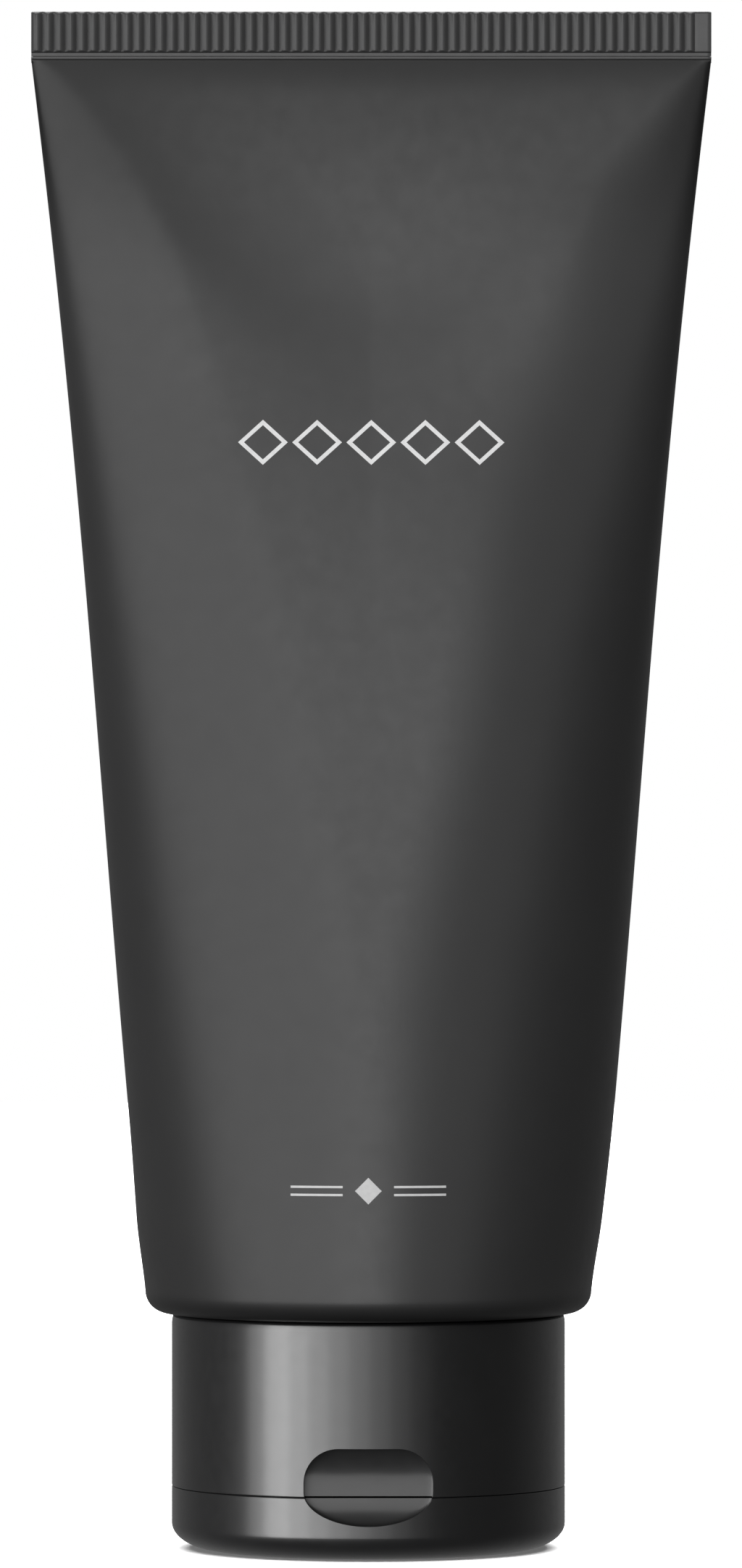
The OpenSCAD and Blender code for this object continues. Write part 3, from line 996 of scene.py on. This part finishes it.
def build():
    """Every piece, on its body and in its material."""
    # the sleeve's film, with painted shade under the shoulder and below the end seam
    film = satin_film("satin_film", SLEEVE_GREY, (PAINTED_SHADE_OVER_HEAD, PAINTED_SHADE_BELOW_SEAM))
    # painted light: a lighter copy of the sleeve's film for the end seam
    seam_film_painted_light = satin_film("seam_film_painted_light", SEAM_PAINTED_LIGHT_GREY)
    gloss = gloss_plastic()
    hinge = hinge_plastic()
    moulded = head_plastic()
    build_cap(gloss)
    build_tube(film, seam_film_painted_light, moulded)
    build_hinge(hinge)


# ---- the studio ----
AIM = Vector((0, 0, 0.09))


def light(name, azimuth, height, distance, width, tall, watts, target=AIM):
    """A soft rectangular light that faces its target. Azimuth 0 is in front, and 90 at the right."""
    data = bpy.data.lights.new(name, "AREA")
    data.shape = "RECTANGLE"
    data.size = width
    data.size_y = tall
    data.energy = watts
    obj = bpy.data.objects.new(name, data)
    turn = math.radians(azimuth)
    obj.location = (distance * math.sin(turn), -distance * math.cos(turn), height)
    obj.rotation_euler = (target - obj.location).to_track_quat("-Z", "Y").to_euler()
    obj.visible_camera = False
    scene.collection.objects.link(obj)
    return obj


# Two walls of soft panels side by side, one more at the sleeve's right, and two high up behind for the back.
PANEL_STEP = 12
PANEL_DISTANCE = 1.1
PANEL_WIDE = 0.26
PANEL_TALL = 1.1
KEY_AZIMUTH = -55
CAP_PANELS = 8
CAP_WATTS = 4.3
CAP_REACH = 100.0  # degrees from the key to where the cap's wall of light ends
CAP_EDGE_WATTS = 1.4
SLEEVE_PANELS = 6
SLEEVE_WATTS = 1.45
SLEEVE_LEFT = -70
SLEEVE_END_WATTS = 3.4
SLEEVE_SIDE_AZIMUTH = 40
SLEEVE_SIDE_WATTS = 0.8
CAP_HEIGHT = 0.1
SLEEVE_HEIGHT = 0.26  # the film leans back, so it mirrors what is higher than the cap does
BACK_AZIMUTHS = (("left", 205), ("right", 155))
BACK_HEIGHT = 1.35
BACK_DISTANCE = 0.95
BACK_SIZE = 0.7
BACK_WATTS = 16.0
FLOOR_WATTS = 420.0
ROOM_FRONT = 0.07
ROOM_BACK = 0.17


def panel(name, azimuth, watts, height=CAP_HEIGHT):
    """One panel of a wall of light."""
    return light(name, azimuth, height, PANEL_DISTANCE, PANEL_WIDE, PANEL_TALL, watts)


def cap_wall():
    """The light of the cap and what is inside it: brightest at the front left, almost none at the right."""
    panels = [panel("cap_edge", KEY_AZIMUTH - PANEL_STEP, CAP_EDGE_WATTS)]
    for k in range(CAP_PANELS):
        away = k * PANEL_STEP
        panels.append(panel(f"cap_panel_{k}", KEY_AZIMUTH + away, CAP_WATTS * (1 - away / CAP_REACH) ** 2))
    return panels


def sleeve_wall():
    """The light of the sleeve: even from the left to the front, brightest at its right end, and weak beyond."""
    panels = []
    for k in range(SLEEVE_PANELS):
        panels.append(panel(f"sleeve_panel_{k}", SLEEVE_LEFT + k * PANEL_STEP, SLEEVE_WATTS, SLEEVE_HEIGHT))
    end = SLEEVE_LEFT + SLEEVE_PANELS * PANEL_STEP
    panels.append(panel("sleeve_end", end, SLEEVE_END_WATTS, SLEEVE_HEIGHT))
    panels.append(panel("sleeve_side", SLEEVE_SIDE_AZIMUTH, SLEEVE_SIDE_WATTS, SLEEVE_HEIGHT))
    return panels


def back_panels():
    """The light of the back, from high up so that it does not glance off the front's rims."""
    return [light(f"back_{side}", azimuth, BACK_HEIGHT, BACK_DISTANCE, BACK_SIZE, BACK_SIZE, BACK_WATTS)
            for side, azimuth in BACK_AZIMUTHS]


def aim(lamps, name, objects):
    """Lets lamps light only these objects."""
    reached = bpy.data.collections.new(name)
    for obj in objects:
        reached.objects.link(obj)
    for lamp in lamps:
        lamp.light_linking.receiver_collection = reached


def make_floor():
    """The floor shows and takes the object's shadow, but throws no light on the object."""
    side = 1400
    far = 1600
    z = -0.02
    corners = [(-side, -side, z), (side, -side, z), (side, far, z), (-side, far, z)]
    floor = piece("floor", corners, [(0, 1, 2, 3)])
    floor.data.materials.append(floor_paper())
    floor.visible_diffuse = False
    floor.visible_glossy = False
    floor.visible_shadow = False
    return floor


def make_studio():
    """The floor and the lights: a wall for the cap and what is inside it, a wall for the sleeve and its print,
    two panels behind for both, and one overhead for the floor."""
    pieces = [obj for obj in scene.collection.objects if obj.type == "MESH"]
    outside = [obj for obj in pieces if obj.name in ("sleeve", "crimped_seam", "upper_mark", "lower_mark")]
    floor = make_floor()
    aim(cap_wall(), "cap_side", [obj for obj in pieces if obj not in outside])
    aim(sleeve_wall(), "sleeve_side", outside)
    aim(back_panels(), "whole_object", pieces)
    overhead = light("floor_light", 0, 2.4, 0.0, 5.0, 5.0, FLOOR_WATTS, Vector((0, 0, 0)))
    aim([overhead], "floor_only", [floor])


def make_world():
    """White where it is seen. As light it is a dim room, brighter behind the object, and lights its edges."""
    world = bpy.data.worlds.new("studio")
    world.use_nodes = True
    scene.world = world
    tree = world.node_tree
    seen = tree.nodes["Background"]
    seen.inputs["Color"].default_value = (1, 1, 1, 1)
    seen.inputs["Strength"].default_value = 1.0
    felt = tree.nodes.new("ShaderNodeBackground")
    felt.inputs["Color"].default_value = (1, 1, 1, 1)
    place = tree.nodes.new("ShaderNodeTexCoord")
    split = tree.nodes.new("ShaderNodeSeparateXYZ")
    spread = tree.nodes.new("ShaderNodeMapRange")
    spread.inputs["From Min"].default_value = 0.0
    spread.inputs["From Max"].default_value = 1.0
    spread.inputs["To Min"].default_value = ROOM_FRONT
    spread.inputs["To Max"].default_value = ROOM_BACK
    tree.links.new(place.outputs["Generated"], split.inputs["Vector"])
    tree.links.new(split.outputs["Y"], spread.inputs["Value"])
    tree.links.new(spread.outputs["Result"], felt.inputs["Strength"])
    path = tree.nodes.new("ShaderNodeLightPath")
    mix = tree.nodes.new("ShaderNodeMixShader")
    tree.links.new(path.outputs["Is Camera Ray"], mix.inputs["Fac"])
    tree.links.new(felt.outputs["Background"], mix.inputs[1])
    tree.links.new(seen.outputs["Background"], mix.inputs[2])
    tree.links.new(mix.outputs["Shader"], tree.nodes["World Output"].inputs["Surface"])


def make_camera():
    """Straight in front, at about half the tube's height, with a long lens."""
    data = bpy.data.cameras.new("camera")
    data.lens = 228
    camera = bpy.data.objects.new("camera", data)
    camera.location = (0.0003, -1.146, 0.0881)
    camera.rotation_euler = (math.pi / 2, 0, 0)
    scene.collection.objects.link(camera)
    scene.camera = camera


build()
make_studio()
make_world()
make_camera()
scene.view_settings.view_transform = "Standard"
